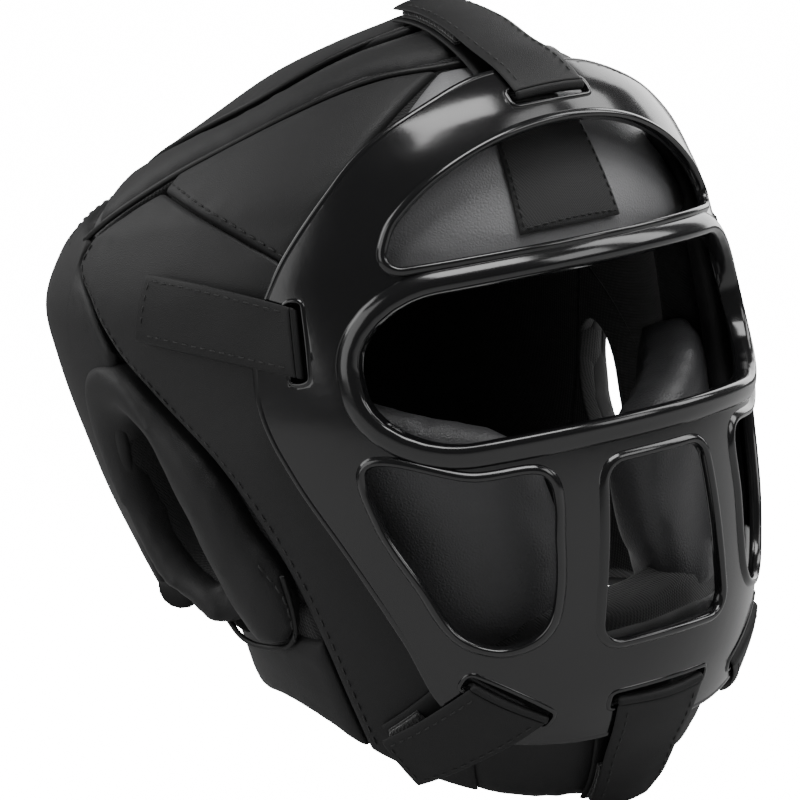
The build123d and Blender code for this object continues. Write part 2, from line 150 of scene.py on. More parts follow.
def cage_gap(points):
    """Gap between skin points and the cage's outer face."""
    angle = np.degrees(np.arctan2(np.abs(points[..., 0]), middle(points[..., 2]) - points[..., 1]))
    return CAGE_EDGE_GAP + cage_lift(points[..., 2]) * np.clip(1 - (angle / CAGE_SPREAD) ** 2, 0, 1) ** 2


def line(places, rise=0.0, turn=0.0):
    """Skin points of a seam given as (angle, height) pairs."""
    return np.array([place(a + turn, h + rise) for a, h in places])


def mirrored(points):
    return points * np.array([-1.0, 1.0, 1.0])


def spaced(points, count, shares=None):
    """Points along the smooth line through some points, evenly spaced or at given shares."""
    points = np.asarray(points, float)
    step = np.linalg.norm(np.diff(points, axis=0), axis=1)
    knots = np.concatenate([[0], np.cumsum(step)])
    tangent = np.gradient(points, knots, axis=0) if len(points) > 2 else None
    fine = np.linspace(0, knots[-1], 40 * len(points))
    if tangent is None:
        dense = points[0] + (points[1] - points[0]) * (fine / knots[-1])[:, None]
    else:
        i = np.clip(np.searchsorted(knots, fine) - 1, 0, len(step) - 1)
        t = ((fine - knots[i]) / step[i])[:, None]
        dense = hermite(t, step[i][:, None], points[i], points[i + 1], tangent[i], tangent[i + 1])
    length = np.concatenate([[0], np.cumsum(np.linalg.norm(np.diff(dense, axis=0), axis=1))])
    shares = np.linspace(0, 1, count) if shares is None else shares
    return np.stack([np.interp(shares * length[-1], length, dense[:, k]) for k in range(3)], -1)


def eased(count, ends=0.6):
    """Shares from 0 to 1, closer together near both ends."""
    t = np.linspace(0, 1, count)
    return (1 - ends) * t + ends * (1 - np.cos(np.pi * t)) / 2


def ripple(points, size, seed):
    """Smooth wandering value between about -1 and 1 at each point; size is in millimetres."""
    rng = np.random.default_rng(seed)
    total = np.zeros(points.shape[:-1])
    for _ in range(RIPPLE_WAVES):
        way = rng.normal(size=3)
        way /= np.linalg.norm(way)
        total += np.sin(points @ way * (2 * np.pi / (size * rng.uniform(0.7, 1.5))) + rng.uniform(0, 6.3))
    return total / RIPPLE_WAVES ** 0.5


# ------------------------------------------------------------ materials
class Material:
    """A material's shader and nodes. Textures added to it are laid out in object coordinates."""

    def __init__(self, name):
        self.data = bpy.data.materials.new(name)
        self.data.use_nodes = True
        self.nodes, self.links = self.data.node_tree.nodes, self.data.node_tree.links
        self.shader = self.nodes["Principled BSDF"]
        self.coords = self.nodes.new("ShaderNodeTexCoord").outputs["Object"]

    def add(self, kind, **settings):
        node = self.nodes.new("ShaderNode" + kind)
        for key, value in settings.items():
            if key in node.inputs:
                node.inputs[key].default_value = value
            else:
                setattr(node, key, value)
        if kind.startswith("Tex"):
            self.links.new(self.coords, node.inputs["Vector"])
        return node

    def set(self, **values):
        """Shader inputs by name, with underscores for spaces; a value may be a node's output."""
        for key, value in values.items():
            target = self.shader.inputs[key.replace("_", " ")]
            if isinstance(value, bpy.types.NodeSocket):
                self.links.new(value, target)
            else:
                target.default_value = value

    def mixed(self, factor, low, high):
        ramp = self.add("MapRange", **{"To Min": low, "To Max": high})
        self.links.new(factor, ramp.inputs["Value"])
        return ramp.outputs["Result"]

    def tinted(self, factor, shade, dark, light):
        """The shade, from darkened to lightened by a factor."""
        node = self.add("Mix", data_type="RGBA")
        node.inputs[6].default_value = (*(c * dark for c in shade), 1)
        node.inputs[7].default_value = (*(c * light for c in shade), 1)
        self.links.new(factor, node.inputs[0])
        return node.outputs[2]

    def bump(self, height, strength, millimetres, under=None):
        node = self.add("Bump", Strength=strength, Distance=millimetres * 0.001)
        self.links.new(height, node.inputs["Height"])
        if under is not None:
            self.links.new(under, node.inputs["Normal"])
        return node.outputs["Normal"]


def leather(name, shade, rough, grain, depth, sheen=0.0):
    """Synthetic leather: pebbled grain, fine creases and worn, slightly glossier patches."""
    made = Material(name)
    pebbles = made.add("TexVoronoi", feature="DISTANCE_TO_EDGE", Scale=1000 / grain, Randomness=1.0)
    creases = made.add("TexNoise", Scale=420.0, Detail=6.0, Roughness=0.65)
    worn = made.add("TexNoise", Scale=22.0, Detail=3.0).outputs["Fac"]
    fine = made.bump(creases.outputs["Fac"], 0.35, depth * 0.5)
    coarse = made.bump(made.mixed(pebbles.outputs["Distance"], 0.0, 2.2), 0.6, depth, fine)
    made.set(Base_Color=made.tinted(worn, shade, 0.72, 1.3), Specular_IOR_Level=0.42,
             Roughness=made.mixed(worn, rough - 0.08, rough + 0.08), Sheen_Weight=sheen,
             Sheen_Roughness=0.5, Normal=coarse)
    return made.data


def woven(name, shade, pitch, rough=0.85, depth=0.25, fuzz=0.3):
    """Fabric: crossed threads with a little unevenness and lint."""
    made = Material(name)
    cross = made.add("Math", operation="MAXIMUM")
    for slot, turn in enumerate((0.6, -0.7)):
        spin = made.add("Mapping", Rotation=(turn, turn, turn))
        wave = made.add("TexWave", Scale=314 / pitch, Distortion=0.6, Detail=1.0)
        made.links.new(made.coords, spin.inputs["Vector"])
        made.links.new(spin.outputs["Vector"], wave.inputs["Vector"])
        made.links.new(wave.outputs["Fac"], cross.inputs[slot])
    lint = made.add("TexNoise", Scale=60.0, Detail=4.0)
    uneven = made.add("Math", operation="MULTIPLY")
    made.links.new(cross.outputs[0], uneven.inputs[0])
    made.links.new(lint.outputs["Fac"], uneven.inputs[1])
    made.set(Base_Color=made.tinted(uneven.outputs[0], shade, 0.6, 1.6), Roughness=rough,
             Sheen_Weight=fuzz, Normal=made.bump(cross.outputs[0], 0.7, depth))
    return made.data


def moulded_plastic(name, shade, rough):
    """Gloss black moulding: faint orange peel, handling marks and uneven polish."""
    made = Material(name)
    peel = made.add("TexNoise", Scale=170.0, Detail=2.0)
    marks = made.add("TexNoise", Scale=35.0, Detail=6.0, Roughness=0.7).outputs["Fac"]
    scuffs = made.add("TexNoise", Scale=900.0, Detail=2.0)
    grit = made.bump(scuffs.outputs["Fac"], 0.08, 0.08)
    made.set(Base_Color=made.tinted(marks, shade, 0.85, 1.2), Specular_IOR_Level=0.55,
             Roughness=made.mixed(marks, rough * 0.75, rough * 1.3), Coat_Weight=0.4,
             Coat_Roughness=0.12, Normal=made.bump(peel.outputs["Fac"], 0.12, 0.4, grit))
    return made.data


def pile(name, shade, size, depth):
    """Hook or loop tape: a dense, irregular nap."""
    made = Material(name)
    nap = made.add("TexVoronoi", Scale=1000 / size, Randomness=0.8)
    lint = made.add("TexNoise", Scale=500.0, Detail=3.0)
    made.set(Base_Color=made.tinted(lint.outputs["Fac"], shade, 0.5, 1.8), Roughness=0.95,
             Sheen_Weight=0.4, Normal=made.bump(nap.outputs["Distance"], 0.9, depth))
    return made.data


COVER_SHADE = (0.0092, 0.0092, 0.0096)
MATERIALS = {
    "cover": leather("cover_leather", COVER_SHADE, 0.56, 0.75, 0.10, 0.05),
    "grained": leather("grained_leather", (0.055, 0.055, 0.057), 0.42, 1.25, 0.20),
    # The forehead's leather is the grained leather made about four times lighter: painted light standing in
    # for the light that falls on the forehead pad.
    "forehead": leather("forehead_leather_painted_light", (0.22, 0.22, 0.225), 0.40, 1.25, 0.20),
    "strap": leather("strap_leather", (0.0075, 0.0075, 0.0078), 0.56, 0.7, 0.10),
    "piping": leather("piping_leather", (0.008, 0.008, 0.008), 0.45, 0.6, 0.08),
    "lining": woven("lining_fabric", (0.008, 0.008, 0.0085), 0.9),
    "patch": woven("patch_weave", (0.007, 0.007, 0.0075), 0.5, 0.6, 0.15, 0.1),
    "thread": woven("thread", (0.022, 0.022, 0.022), 0.25, 0.6, 0.1, 0.0),
    "plastic": moulded_plastic("cage_plastic", (0.0065, 0.0065, 0.007), 0.17),
    "hook": pile("hook_tape", (0.010, 0.010, 0.010), 0.9, 0.5),
    "loop": pile("loop_tape", (0.014, 0.014, 0.014), 0.5, 0.3),
}


# ------------------------------------------------------------ mesh helpers
def make_object(name, verts, faces, finish, body, replaces=(), subdivide=0):
    mesh = bpy.data.meshes.new(name)
    mesh.from_pydata((np.asarray(verts) * MM).tolist(), [], [list(map(int, f)) for f in faces])
    mesh.update()
    mesh.validate()
    obj = bpy.data.objects.new(name, mesh)
    bpy.context.collection.objects.link(obj)
    mesh.polygons.foreach_set("use_smooth", [True] * len(mesh.polygons))
    mesh.materials.append(MATERIALS[finish])
    if subdivide:
        mod = obj.modifiers.new("smooth", "SUBSURF")
        mod.levels = mod.render_levels = subdivide
    if body:
        settle(obj, body, replaces)
    return obj


def settle(obj, body, replaces):
    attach(obj, body)
    if replaces:
        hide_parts(*replaces)


def grid_faces(rows, cols, start=0, flip=False):
    i, j = np.meshgrid(np.arange(rows - 1), np.arange(cols - 1), indexing="ij")
    a = start + i * cols + j
    quads = np.stack([a, a + 1, a + cols + 1, a + cols], -1).reshape(-1, 4)
    return quads[:, ::-1] if flip else quads


def closed_sheet(top, bottom):
    """Vertices and faces of a closed solid between two grids of points."""
    rows, cols = top.shape[:2]
    verts = np.concatenate([top.reshape(-1, 3), bottom.reshape(-1, 3)])
    count = rows * cols
    index = np.arange(count).reshape(rows, cols)
    ring = np.concatenate([index[0, :-1], index[:-1, -1], index[-1, :0:-1], index[:0:-1, 0]])
    after = np.roll(ring, -1)
    walls = np.stack([ring, ring + count, after + count, after], -1)
    faces = np.concatenate([grid_faces(rows, cols), grid_faces(rows, cols, count, True), walls])
    out = top[rows // 2, cols // 2] - bottom[rows // 2, cols // 2]
    a, b, c = (top[rows // 2 + i, cols // 2 + j] for i, j in ((0, 0), (1, 0), (0, 1)))
    if np.dot(np.cross(c - a, b - a), out) < 0:
        faces = faces[:, ::-1]
    return verts, faces


def edge_distance(grid):
    """Distance of each grid point from the grid's nearest side, in millimetres."""
    across = np.linalg.norm(np.diff(grid, axis=1), axis=2)
    along = np.linalg.norm(np.diff(grid, axis=0), axis=2)
    zero_a = np.zeros((grid.shape[0], 1))
    zero_b = np.zeros((1, grid.shape[1]))
    from_a = np.concatenate([zero_a, np.cumsum(across, 1)], 1)
    from_start = np.concatenate([zero_b, np.cumsum(along, 0)], 0)
    sides = [from_a, from_a[:, -1:] - from_a, from_start, from_start[-1:] - from_start]
    return np.min(sides, axis=0)


def sheet(edge_a, edge_b, top=0.0, bottom=5.0, sink=2.4, rounding=5.0, swell=0.0, swell_reach=18.0,
          pucker=0.0, wander=0.25, seed=1, pitch=2.6, bulge=(0.0, 0.0), tuck=0.0):
    """Top and bottom grids of a padded cover between two seam lines."""
    edge_a, edge_b = np.asarray(edge_a), np.asarray(edge_b)
    length = max(np.linalg.norm(np.diff(e, axis=0), axis=1).sum() for e in (edge_a, edge_b))
    width = np.linalg.norm(spaced(edge_a, 9) - spaced(edge_b, 9), axis=1).max()
    cols = max(8, int(length / pitch))
    rows = max(8, int(width / pitch) + 4)
    a = spaced(edge_a, cols, eased(cols, 0.35))
    b = spaced(edge_b, cols, eased(cols, 0.35))
    share = eased(rows)
    way, far = to_skin(a[:, None] + (b - a)[:, None] * share[None, :, None])
    skin = CENTRE + way * far[..., None]
    inside = edge_distance(skin)
    t = np.clip(inside / rounding, 0, 1)
    depth = top + sink * (1 - np.sqrt(1 - (1 - t) ** 2))
    along = np.linspace(0, 1, cols)[:, None]
    depth = depth - swell * (1 - np.exp(-inside / swell_reach))
    depth = depth - (bulge[0] + (bulge[1] - bulge[0]) * along) * np.sin(np.pi * share)[None, :]
    depth = depth + wander * ripple(skin, 46, seed) * np.clip(inside / 12, 0, 1)
    if pucker:
        depth = depth + pucker * ripple(skin, 8, seed + 50) * np.exp(-((inside - 5) / 5) ** 2)
    far = far - tuck * along ** 1.5
    upper = CENTRE + way * (far - depth)[..., None]
    lower = CENTRE + way * (far - bottom)[..., None]
    return upper, lower


def flip(points, wanted):
    return mirrored(points) if wanted else points


CLOTH_VOXEL = 4.5
CLOTH_PRESSURE = 4.0
CLOTH_FRAMES = 20


def inflate(obj, cap):
    """Blows a pad up a little with cloth pressure, so that its leather stretches over the foam."""
    bpy.context.view_layer.objects.active = obj
    remesh = obj.modifiers.new("remesh", "REMESH")
    remesh.mode = "VOXEL"
    remesh.voxel_size = CLOTH_VOXEL * MM
    smooth = obj.modifiers.get("smooth")
    if smooth:
        obj.modifiers.remove(smooth)
    graph = bpy.context.evaluated_depsgraph_get()
    baked = bpy.data.meshes.new_from_object(obj.evaluated_get(graph))
    obj.modifiers.clear()
    old = obj.data
    obj.data = baked
    bpy.data.meshes.remove(old)
    rest = np.empty(len(baked.vertices) * 3)
    baked.vertices.foreach_get("co", rest)
    cloth = obj.modifiers.new("cloth", "CLOTH")
    cloth.settings.use_pressure = True
    cloth.settings.uniform_pressure_force = CLOTH_PRESSURE
    cloth.settings.effector_weights.gravity = 0
    cloth.settings.quality = 4
    cloth.point_cache.frame_start, cloth.point_cache.frame_end = 1, CLOTH_FRAMES
    scene = bpy.context.scene
    for number in range(1, CLOTH_FRAMES + 1):
        scene.frame_set(number)
    graph = bpy.context.evaluated_depsgraph_get()
    result = obj.evaluated_get(graph).to_mesh()
    moved = np.empty(len(result.vertices) * 3)
    result.vertices.foreach_get("co", moved)
    obj.evaluated_get(graph).to_mesh_clear()
    obj.modifiers.clear()
    scene.frame_set(1)
    step = (moved - rest).reshape(-1, 3)
    size = np.linalg.norm(step, axis=1, keepdims=True)
    limit = cap * MM
    step = step * (limit * np.tanh(size / limit) / np.maximum(size, 1e-9))
    baked.vertices.foreach_set("co", (rest.reshape(-1, 3) + step).ravel())
    baked.polygons.foreach_set("use_smooth", [True] * len(baked.polygons))
    baked.update()
    mod = obj.modifiers.new("smooth", "SUBSURF")
    mod.levels = mod.render_levels = 1


def tube(points, radius, sides=8):
    """Vertices and faces of a round tube along points."""
    points = np.asarray(points, float)
    count = len(points)
    tangent = np.gradient(points, axis=0)
    tangent /= np.linalg.norm(tangent, axis=1, keepdims=True)
    normal = points - CENTRE
    normal -= (normal * tangent).sum(1, keepdims=True) * tangent
    normal /= np.linalg.norm(normal, axis=1, keepdims=True)
    side = np.cross(tangent, normal)
    angle = np.arange(sides) * 2 * np.pi / sides
    up, out = np.cos(angle)[None, :, None], np.sin(angle)[None, :, None]
    ring = normal[:, None] * up + side[:, None] * out
    radii = np.broadcast_to(radius, (count,))
    verts = (points[:, None] + ring * radii[:, None, None]).reshape(-1, 3)
    faces = []
    for i in range(count - 1):
        for k in range(sides):
            n, m = i + 1, (k + 1) % sides
            faces.append((i * sides + k, i * sides + m, n * sides + m, n * sides + k))
    faces.append(tuple(range(sides))[::-1])
    faces.append(tuple((count - 1) * sides + k for k in range(sides)))
    return verts, faces


def joined(parts):
    """One mesh from several (vertices, faces) pairs."""
    verts, faces, start = [], [], 0
    for part_verts, part_faces in parts:
        verts.append(np.asarray(part_verts))
        faces.extend([tuple(int(v) + start for v in face) for face in part_faces])
        start += len(part_verts)
    return np.concatenate(verts), faces


def on_skin(points, depth):
    way, far = to_skin(np.asarray(points, float))
    return CENTRE + way * (far - depth)[..., None]


def stitch_run(points, length=3.0, space=1.7, radius=0.36):
    """Thread dashes along a line of points."""
    points = np.asarray(points, float)
    run = np.concatenate([[0], np.cumsum(np.linalg.norm(np.diff(points, axis=0), axis=1))])
    parts = []
    start = 1.0
    while start + length < run[-1] - 0.5:
        at = start + np.array([0, 0.12, 0.5, 0.88, 1.0]) * length
        dash = np.stack([np.interp(at, run, points[:, k]) for k in range(3)], -1)
        up = dash - CENTRE
        up /= np.linalg.norm(up, axis=1, keepdims=True)
        dash = dash + up * np.array([-0.45, 0.05, 0.2, 0.05, -0.45])[:, None]
        parts.append(tube(dash, np.array([0.6, 1, 1, 1, 0.6]) * radius, 6))
        start += length + space
    return parts


def padded(name, edge_a, edge_b, finish, replaces, mirror_it=False, blown=0.0, **shape):
    """A pad between two seam lines, blown up by cloth pressure to at most the given distance."""
    upper, lower = sheet(edge_a, edge_b, **shape)
    verts, faces = closed_sheet(flip(upper, mirror_it), flip(lower, mirror_it))
    obj = make_object(name, verts, faces, finish, SHELL, replaces, 1)
    if blown:
        inflate(obj, blown)


def padded_pair(name, edge_a, edge_b, finish, replaces=(), **shape):
    """The same pad on the wearer's left and right."""
    for side, mirror_it in (("_left", False), ("_right", True)):
        covered = [piece + side for piece in replaces]
        padded(name + side, edge_a, edge_b, finish, covered, mirror_it, **shape)


# ------------------------------------------------------------ seam lines (wearer's left; right is the mirror)
GROOVE = [(2, 269.5), (18, 270), (38, 270), (56, 265), (72, 257), (90, 247), (107, 232)]
BAND_TOP = [(2, 286), (15, 286), (68, 281), (89, 271), (118, 260), (136, 251)]
SIDE_SEAM = [(46, 211), (54, 222), (66, 234), (84, 244.5)]
COVER_EDGE = [(42.5, 190), (42.5, 165), (43.8, 148), (43.2, 130), (41.5, 110), (37.5, 92), (34, 75),
              (31.3, 58), (30.4, 40), (30, 14)]
FACE_EDGE = [(42.5, 190), (43, 165), (46.8, 148), (46.3, 120), (46, 95), (45.5, 62), (44.8, 38)]
STITCHED_EDGE = [(101, 232), (104, 224), (95.5, 210), (88, 191), (79.5, 174), (67, 146),
                 (61.5, 125), (56.5, 98), (53.9, 76), (52.2, 57), (50.4, 36)]
NAPE_RIM = [(101, 96), (117, 100), (135, 104), (155, 106), (179.6, 107)]
REAR_TOP = [(111.5, 229.5), (121, 239), (136, 248.5), (158, 254), (179.6, 256)]
REAR_CORNER = [(90.5, 190), (96.3, 209.5), (104.3, 223), (105, 231)]
EAR_OUTER = [(59.2, 79), (58.4, 98), (63.6, 120), (69.5, 147), (81, 172), (88.5, 186), (96.5, 189.5),
             (104, 184), (106, 168), (104.5, 148), (101.8, 126), (97.5, 107), (88, 93), (76.5, 80)]
EAR_SEAM = [(59.2, 104), (59.2, 95), (59.5, 87), (60.4, 80.5), (62.6, 76.6), (66, 75.2), (70, 75.4),
            (73.6, 76.4), (76.8, 79), (79, 83.5), (80.6, 88)]
EAR_INNER = [(71.5, 80), (75.5, 97), (78, 113), (80, 131), (82, 149), (85.5, 161), (89.5, 165.5),
             (93.5, 161), (95, 148), (94.8, 132), (92.5, 118), (88.5, 107), (84, 101), (79.8, 98)]
FACE_BINDING = [(33, 234), (38, 225), (40.5, 214), (41, 203), (41, 190), (41, 165), (42, 148), (41.7, 130),
                (40, 110), (36.5, 93), (34.5, 82)]
PIPING_RADIUS, EAR_CORD_RADIUS, RIM_BINDING_RADIUS = 1.25, 1.1, 8.8
BINDING_DEPTH = 4.0
BINDING_CLEARANCE = 0.4
BINDING_STEPS, BINDING_END_STEPS = 90, 6
JAW_TOP = [(54.2, 77), (62, 78), (72, 78.5), (84, 84), (95, 95)]
JAW_RIM = [(50.8, 35.5), (60, 44), (72, 48), (84, 44), (97, 42)]


def front_edge(lowered, edge):
    return np.concatenate([line(SIDE_SEAM[::-1], -lowered), line(edge)])


# ------------------------------------------------------------ padding cores and lining
def cores():
    low_side = line([(44, 205), (53, 220), (65.5, 232.5), (84, 243)])
    low_front = line([(-22, 203.6), (0, 203.6), (22, 203.6)])
    high_side = line([(38, 271), (56, 266), (72, 258), (84, 250)])
    bottom = np.concatenate([mirrored(low_side[::-1]), low_front, low_side])
    top = np.concatenate([mirrored(high_side[::-1]), line([(0, 271)]), high_side])
    thick = dict(top=3.2, bottom=18.0, sink=4.0, rounding=5.0, pitch=4.0, wander=0.4)
    padded("forehead_core", bottom, top, "lining", ("forehead_foam", "forehead_lining"), **thick)
    edge = line([(18, 269), (38, 269.5), (56, 264.5), (72, 256.5), (90, 246.5), (106, 231.5),
                 (120, 241.5), (135, 248.5)])
    padded("crown_core", edge, mirrored(edge), "lining", ("crown_foam", "crown_lining"), **thick)
    padded_pair("side_core", front_edge(0.5, FACE_EDGE), line(STITCHED_EDGE, turn=0.6), "lining",
                ("side_foam", "side_lining"), **thick)
    padded_pair("rear_core", line(REAR_CORNER + REAR_TOP[1:], 1.5), line([(101, 97)] + NAPE_RIM[1:]),
                "lining", ("rear_foam", "rear_lining"), **thick)
    outer = np.array(EAR_OUTER)
    outer = (86, 135) + (outer - (86, 135)) * (1.14, 1.09)
    padded_pair("ear_core", line(outer), line(EAR_INNER), "lining", top=8, bottom=17.5, sink=3,
                rounding=4, pitch=4.0)
    padded_pair("jaw_core", line(JAW_TOP, 12), line(JAW_RIM, 1), "lining", top=3.5, bottom=14,
                sink=3, rounding=5, pitch=4.0, tuck=30.0)
    top = line([(-46.5, 80), (-24, 80), (0, 72), (24, 80), (46.5, 80)])
    rim = line([(-47.5, 26), (-24, 9), (0, 3), (24, 9), (47.5, 26)])
    padded("chin_core", top, rim, "lining", ("chin_foam",), top=3.2, bottom=16.0, sink=4, pitch=4.0)


# ------------------------------------------------------------ leather covers
def covers():
    bottom = line([(-43.5, 203), (-20, 203), (0, 203), (20, 203), (43.5, 203)])
    top = line([(-17, 269.5), (0, 269.5), (17, 269.5)])
    # The forehead pad's leather is lighter than the cheek cushions' grained leather only as painted light.
    padded("forehead_pad", bottom, top, "forehead", ("forehead_panel",), swell=1.0, bottom=6,
           top=1.6, rounding=9, pucker=0.15, seed=3)
    edge = line([(8, 287.6)] + BAND_TOP[1:], 0.6)
    padded("crown_top", edge, mirrored(edge), "cover", ("crown_centre_panel",), sink=2.4, rounding=5,
           swell=0.6, top=0.6, pucker=0.2, seed=5, bottom=6)
    padded_pair("crown_roll", line(GROOVE, 1.2), line(BAND_TOP, -0.2), "cover", ("crown_band",), top=1.5,
                bottom=13, sink=5.5, rounding=9, swell=1.5, swell_reach=12, pucker=0.3, seed=7, blown=1.6)
    top = line([(17.5, 269), (38, 269), (56, 264), (72, 256), (84, 249.6)])
    padded_pair("upper_side_cover", top, line(SIDE_SEAM, 0.3), "cover", ("upper_side_panel",),
                sink=2.0, rounding=4.5, swell=0.5, top=0.5, pucker=0.12, seed=9)
    padded_pair("side_cover", front_edge(0.3, COVER_EDGE), line(STITCHED_EDGE), "cover",
                ("side_panel",), bottom=4.4, sink=1.8, rounding=3.5, swell=0.5, top=0.5,
                pucker=0.12, seed=11)
    top, rim = line(REAR_CORNER + REAR_TOP[1:], 0.8), line([(103, 96)] + NAPE_RIM[1:], -0.5)
    padded_pair("rear_cover", top, rim, "cover", ("rear_panel",), sink=2.2, rounding=5, swell=0.8,
                top=0.8, pucker=0.2, seed=13)
    padded_pair("jaw_cover", line(JAW_TOP), line(JAW_RIM), "cover", ("jaw_panel",), sink=2.5,
                rounding=6, bottom=8, top=0.8, swell=1.0, pucker=0.2, seed=15, tuck=30.0)
    top = line([(-32, 63.5), (-15, 64), (0, 64), (15, 64), (32, 63.5)])
    rim = line([(-31, 15), (-15, 5), (0, 2), (15, 5), (31, 15)])
    padded("chin_cover", top, rim, "cover", ("chin_cup",), sink=3.5, rounding=8, swell=1.0, top=1.0,
           bottom=8, pucker=0.3, wander=0.5, seed=17)


def ear_rings():
    padded_pair("ear_ring", line(EAR_OUTER), line(EAR_INNER), "cover", ("ear_roll",), top=0.5,
                bottom=13.5, sink=5, rounding=9, bulge=(6.0, 2.0), pucker=0.25, wander=0.3, seed=19,
                blown=2.0)


def cheek_cushions():
    outside = line([(43, 168), (45.5, 158), (48.5, 146), (48.8, 120), (48.5, 95), (47.6, 58)])
    inside = line([(17, 143), (11, 130), (8.5, 110), (8, 92), (12, 60)])
    padded_pair("cheek_cushion", outside, inside, "grained", ("cheek_pad",), top=7, bottom=28, sink=7,
                rounding=14, swell=3.5, swell_reach=12, pucker=0.4, wander=0.6, seed=21, blown=3.0)


# ------------------------------------------------------------ piping and stitching
def both_hands(meshes):
    """Meshes on the wearer's left, followed by their mirror images."""
    return [(flip(verts, mirror_it), faces) for mirror_it in (False, True) for verts, faces in meshes]


def trims():
    groove = on_skin(spaced(line(GROOVE, 0.1), 110), 1.6)
    band = on_skin(spaced(line(BAND_TOP, 0.9), 110), 1.4)
    ear_seam = on_skin(spaced(line(EAR_SEAM), 60), np.linspace(1.0, 6.5, 60))
    cords = [tube(groove, PIPING_RADIUS), tube(band, PIPING_RADIUS), tube(ear_seam, EAR_CORD_RADIUS)]
    make_object("crown_piping", *joined(both_hands(cords)), "piping", SHELL)

    runs = [on_skin(spaced(line(STITCHED_EDGE, turn=-1.9), 160)[2:], 0.35),
            on_skin(spaced(line(SIDE_SEAM, 2.6), 60), 0.45),
            on_skin(spaced(line([(59.5, 80), (59.5, 97), (63.5, 111)]), 30), -1.5),
            on_skin(spaced(line(REAR_TOP, -3.0), 90)[4:-3], 0.5),
            on_skin(spaced(line(NAPE_RIM, 4.0), 90)[3:-3], 0.5)]
    stitches = [stitch for run in runs for stitch in stitch_run(run)]
    make_object("seam_stitching", *joined(both_hands(stitches)), "thread", SHELL)

    skin = spaced(line(FACE_BINDING), BINDING_STEPS)
    room = cage_gap(skin) - CAGE_WALL - BINDING_CLEARANCE
    steps = np.arange(BINDING_STEPS)
    to_end = np.clip(np.minimum(steps, steps[::-1]) / BINDING_END_STEPS, 0.02, 1)
    radius = (BINDING_DEPTH + room) / 2 * np.sqrt(to_end * (2 - to_end))
    binding = tube(on_skin(skin, (BINDING_DEPTH - room) / 2), radius, 16)
    make_object("face_binding", *joined(both_hands([binding])), "cover", SHELL)

    rim = tube(on_skin(spaced(line(NAPE_RIM, -0.4), 80), 9.0), RIM_BINDING_RADIUS, 16)
    make_object("rim_binding", *joined(both_hands([rim])), "piping", SHELL)


# ------------------------------------------------------------ straps
STRAPS = {
    "top": ([(-7.5, 246), (7.5, 246)], [(-52, 287.3), (52, 287.3)], 0.5),
    "chin": ([(-8.5, 52), (8.5, 52)], [(-9, 6), (9, 6)], 0.6),
    "temple": ([(45.5, 196), (46.5, 171)], [(73, 215), (77.5, 191)], 0.5),
    "jaw": ([(30, 67), (18.5, 49)], [(46.5, 48), (41.5, 27)], 0.6),
}
TAIL_LOW, TAIL_HIGH = 0.6, 2.4
FOLD_RADIUS, FOLD_THICKNESS = 2.35, 1.7
STRAP_STITCH = (2.6, 1.5, 0.32)
REAR_FLAP_BOTTOM, REAR_FLAP_WIDTH = 156, 36
REAR_FLAP_LOW, REAR_FLAP_HIGH = 3.2, 5.2


def strip_frame(start, end, cols, rows, margin, skip_start=0.0, skip_end=0.0):
    """Skin rays of a strap between its slot line and its end line."""
    first, last = line(start), line(end)
    inward = (first[1] - first[0]) / np.linalg.norm(first[1] - first[0]) * margin
    inward_end = (last[1] - last[0]) / np.linalg.norm(last[1] - last[0]) * margin
    a = np.linspace(0, 1, cols) * (1 - skip_start - skip_end) + skip_start
    side_a = (first[0] + inward)[None] + (last[0] + inward_end - first[0] - inward)[None] * a[:, None]
    side_b = (first[1] - inward)[None] + (last[1] - inward_end - first[1] + inward)[None] * a[:, None]
    s = eased(rows, 0.7)
    return to_skin(side_a[:, None] + (side_b - side_a)[:, None] * s[None, :, None])


def rounded_strip(way, low, high, edge=0.7):
    """Closed strip between two distances along the rays, with softened sides."""
    count = way.shape[1]
    soft = np.clip(np.minimum(np.arange(count), np.arange(count)[::-1]) / 1.5, 0, 1)
    drop = edge * (1 - soft ** 0.5)
    top = CENTRE + way * (high - drop[None, :])[..., None]
    bottom = CENTRE + way * (low + drop[None, :])[..., None]
    return top, bottom


